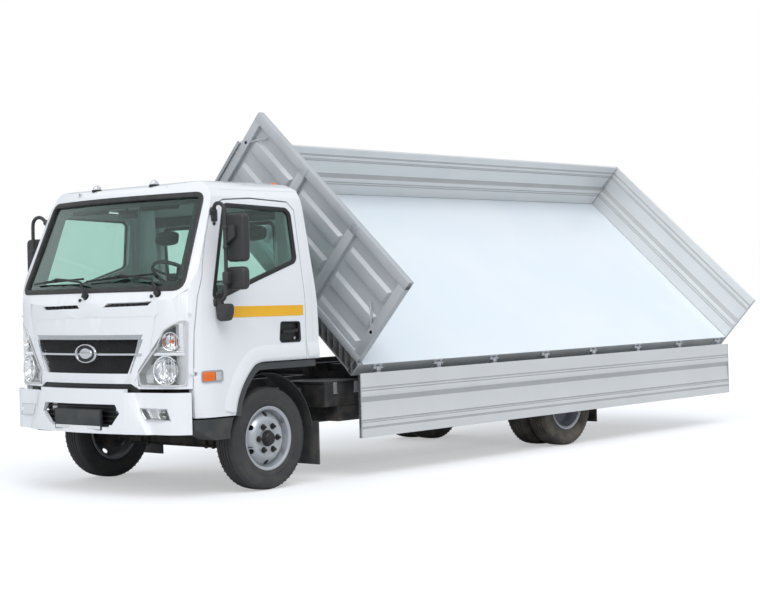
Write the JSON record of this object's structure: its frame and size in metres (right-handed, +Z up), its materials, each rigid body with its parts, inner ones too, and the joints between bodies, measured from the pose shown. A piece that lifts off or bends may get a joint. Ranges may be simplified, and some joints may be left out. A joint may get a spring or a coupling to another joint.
{
  "type": "three-way tipping dump truck",
  "caption": "Cab-over dump truck with a drop-side bed raised on its left pivots, tilting cab, opening doors, steered front wheels and twin rear wheels.",
  "frame": {"origin": "on the ground under the middle of the truck's box", "axes": "+X forward, +Y to the truck's left, +Z up"},
  "size_m": [7.607, 2.9156, 2.9523],
  "materials": {
    "painted_white": "gloss",
    "frame_black": "satin",
    "cast_dark": "rough",
    "black_plastic": "satin",
    "grey_plastic": "matte",
    "window_glass": "clear",
    "lamp_glass": "clear",
    "seat_cloth": "woven",
    "tyre_rubber": "matte",
    "rim_silver": "satin",
    "bed_steel": "gloss",
    "grey_steel": "satin",
    "board_aluminium": "satin",
    "ram_chrome": "polished",
    "tank_black": "satin",
    "exhaust_steel": "dull"
  },
  "bodies": {
    "chassis": {"frame_rails": "frame_black", "cross_members": "frame_black", "tipper_subframe": "frame_black", "front_axle": "cast_dark", "leaf_springs": "cast_dark", "rear_axle": "cast_dark", "propeller_shaft": "cast_dark", "engine": "cast_dark", "fuel_tank": "tank_black", "battery_box": "tank_black", "exhaust": "exhaust_steel", "front_bumper": "painted_white", "front_mudguards": "grey_plastic", "rear_bar": "frame_black"},
    "cab": {"cab_floor": "grey_plastic", "cab_front": "painted_white", "cab_sides": "painted_white", "arch_trims": "grey_plastic", "cab_roof": "painted_white", "cab_rear_wall": "painted_white", "cab_glass": "window_glass", "dashboard": "grey_plastic", "seats": "seat_cloth", "headlamps": "lamp_glass", "grille": "black_plastic"},
    "left_door_body": {"left_door": "painted_white", "left_door_glass": "window_glass", "left_mirrors": "black_plastic"},
    "right_door_body": {"right_door": "painted_white", "right_door_glass": "window_glass", "right_mirrors": "black_plastic"},
    "hand_wheel": {"steering_wheel": "black_plastic"},
    "left_hub": {"left_knuckle": "cast_dark"},
    "right_hub": {"right_knuckle": "cast_dark"},
    "tie_rod_body": {"tie_rod": "cast_dark"},
    "front_left_wheel": {"front_left_tyre": "tyre_rubber", "front_left_rim": "rim_silver"},
    "front_right_wheel": {"front_right_tyre": "tyre_rubber", "front_right_rim": "rim_silver"},
    "rear_left_wheels": {"rear_left_tyres": "tyre_rubber", "rear_left_rims": "rim_silver"},
    "rear_right_wheels": {"rear_right_tyres": "tyre_rubber", "rear_right_rims": "rim_silver"},
    "barrel": {"cylinder_barrel": "frame_black"},
    "stage_1": {"cylinder_stage_1": "ram_chrome"},
    "stage_2": {"cylinder_stage_2": "ram_chrome"},
    "stage_3": {"cylinder_stage_3": "ram_chrome"},
    "bed": {"bed_floor": "bed_steel", "headboard": "grey_steel"},
    "left_board": {"left_side_board": "board_aluminium"},
    "right_board": {"right_side_board": "board_aluminium"},
    "tailgate": {"tailgate": "board_aluminium"}
  },
  "joints": [
    {"name": "bed_tip", "type": "hinge", "parent": "chassis", "child": "bed", "pos_m": [2.7935, 0.74219, 0.947], "axis": [-1, 0, 0], "range_deg": [-42.5, 0]},
    {"name": "left_board_drop", "type": "hinge", "parent": "bed", "child": "left_board", "pos_m": [2.7935, 0.90985, 0.85169], "axis": [-1, 0, 0], "range_deg": [-137.5, 0]},
    {"name": "right_board_drop", "type": "hinge", "parent": "bed", "child": "right_board", "pos_m": [2.7935, -0.72395, 2.3488], "axis": [1, 0, 0], "range_deg": [0, 180]},
    {"name": "tailgate_drop", "type": "hinge", "parent": "bed", "child": "tailgate", "pos_m": [-3.7915, 0.09295, 1.60025], "axis": [0, -0.7373, 0.6756], "range_deg": [0, 180]},
    {"name": "cab_tilt", "type": "hinge", "parent": "chassis", "child": "cab", "pos_m": [3.5935, -0.17781, 0.842], "axis": [0, 1, 0], "range_deg": [0, 45]},
    {"name": "left_door_swing", "type": "hinge", "parent": "cab", "child": "left_door_body", "pos_m": [3.5265, 0.79819, 1.1], "axis": [0, 0, -1], "range_deg": [0, 65]},
    {"name": "right_door_swing", "type": "hinge", "parent": "cab", "child": "right_door_body", "pos_m": [3.5265, -1.15381, 1.1], "axis": [0, 0, 1], "range_deg": [0, 65]},
    {"name": "steer_left", "type": "hinge", "parent": "chassis", "child": "left_hub", "pos_m": [2.7935, 0.56219, 0.384], "axis": [0, 0, 1], "range_deg": [-35, 35]},
    {"name": "steer_right", "type": "hinge", "parent": "chassis", "child": "right_hub", "pos_m": [2.7935, -0.91781, 0.384], "axis": [0, 0, 1], "range_deg": [-35, 35]},
    {"name": "tie_rod_pivot", "type": "hinge", "parent": "left_hub", "child": "tie_rod_body", "pos_m": [2.6285, 0.56219, 0.276], "axis": [0, 0, 1], "range_deg": [-35, 35]},
    {"name": "steering_wheel_turn", "type": "hinge", "parent": "cab", "child": "hand_wheel", "pos_m": [3.2735, 0.38219, 1.59], "axis": [-0.5736, 0, 0.8192], "range_deg": [-630, 630]},
    {"name": "front_left_spin", "type": "hinge", "parent": "left_hub", "child": "front_left_wheel", "pos_m": [2.7935, 0.71019, 0.384], "axis": [0, 1, 0], "continuous": true},
    {"name": "front_right_spin", "type": "hinge", "parent": "right_hub", "child": "front_right_wheel", "pos_m": [2.7935, -1.06581, 0.384], "axis": [0, 1, 0], "continuous": true},
    {"name": "rear_left_spin", "type": "hinge", "parent": "chassis", "child": "rear_left_wheels", "pos_m": [-1.0565, 0.71019, 0.384], "axis": [0, 1, 0], "continuous": true},
    {"name": "rear_right_spin", "type": "hinge", "parent": "chassis", "child": "rear_right_wheels", "pos_m": [-1.0565, -1.06581, 0.384], "axis": [0, 1, 0], "continuous": true},
    {"name": "barrel_swing", "type": "hinge", "parent": "chassis", "child": "barrel", "pos_m": [-0.2165, -0.17781, 0.69], "axis": [-1, 0, 0], "range_deg": [-15.39, 0.5]},
    {"name": "stage_1_slide", "type": "slide", "parent": "barrel", "child": "stage_1", "axis": [0, 0.2569, 0.9664], "range_m": [-0.2197, 0.001]},
    {"name": "stage_2_slide", "type": "slide", "parent": "stage_1", "child": "stage_2", "axis": [0, 0.2569, 0.9664], "range_m": [-0.2197, 0.001]},
    {"name": "stage_3_slide", "type": "slide", "parent": "stage_2", "child": "stage_3", "axis": [0, 0.2569, 0.9664], "range_m": [-0.2197, 0.001]}
  ],
  "couplings": [
    {"joint": "steer_right", "follows": "steer_left", "ratio": 1},
    {"joint": "tie_rod_pivot", "follows": "steer_left", "ratio": -1},
    {"joint": "steering_wheel_turn", "follows": "steer_left", "ratio": 18},
    {"joint": "barrel_swing", "follows": "bed_tip", "ratio": 0.35029},
    {"joint": "stage_1_slide", "follows": "bed_tip", "m_per_rad": 0.29483},
    {"joint": "stage_2_slide", "follows": "bed_tip", "m_per_rad": 0.29483},
    {"joint": "stage_3_slide", "follows": "bed_tip", "m_per_rad": 0.29483}
  ]
}
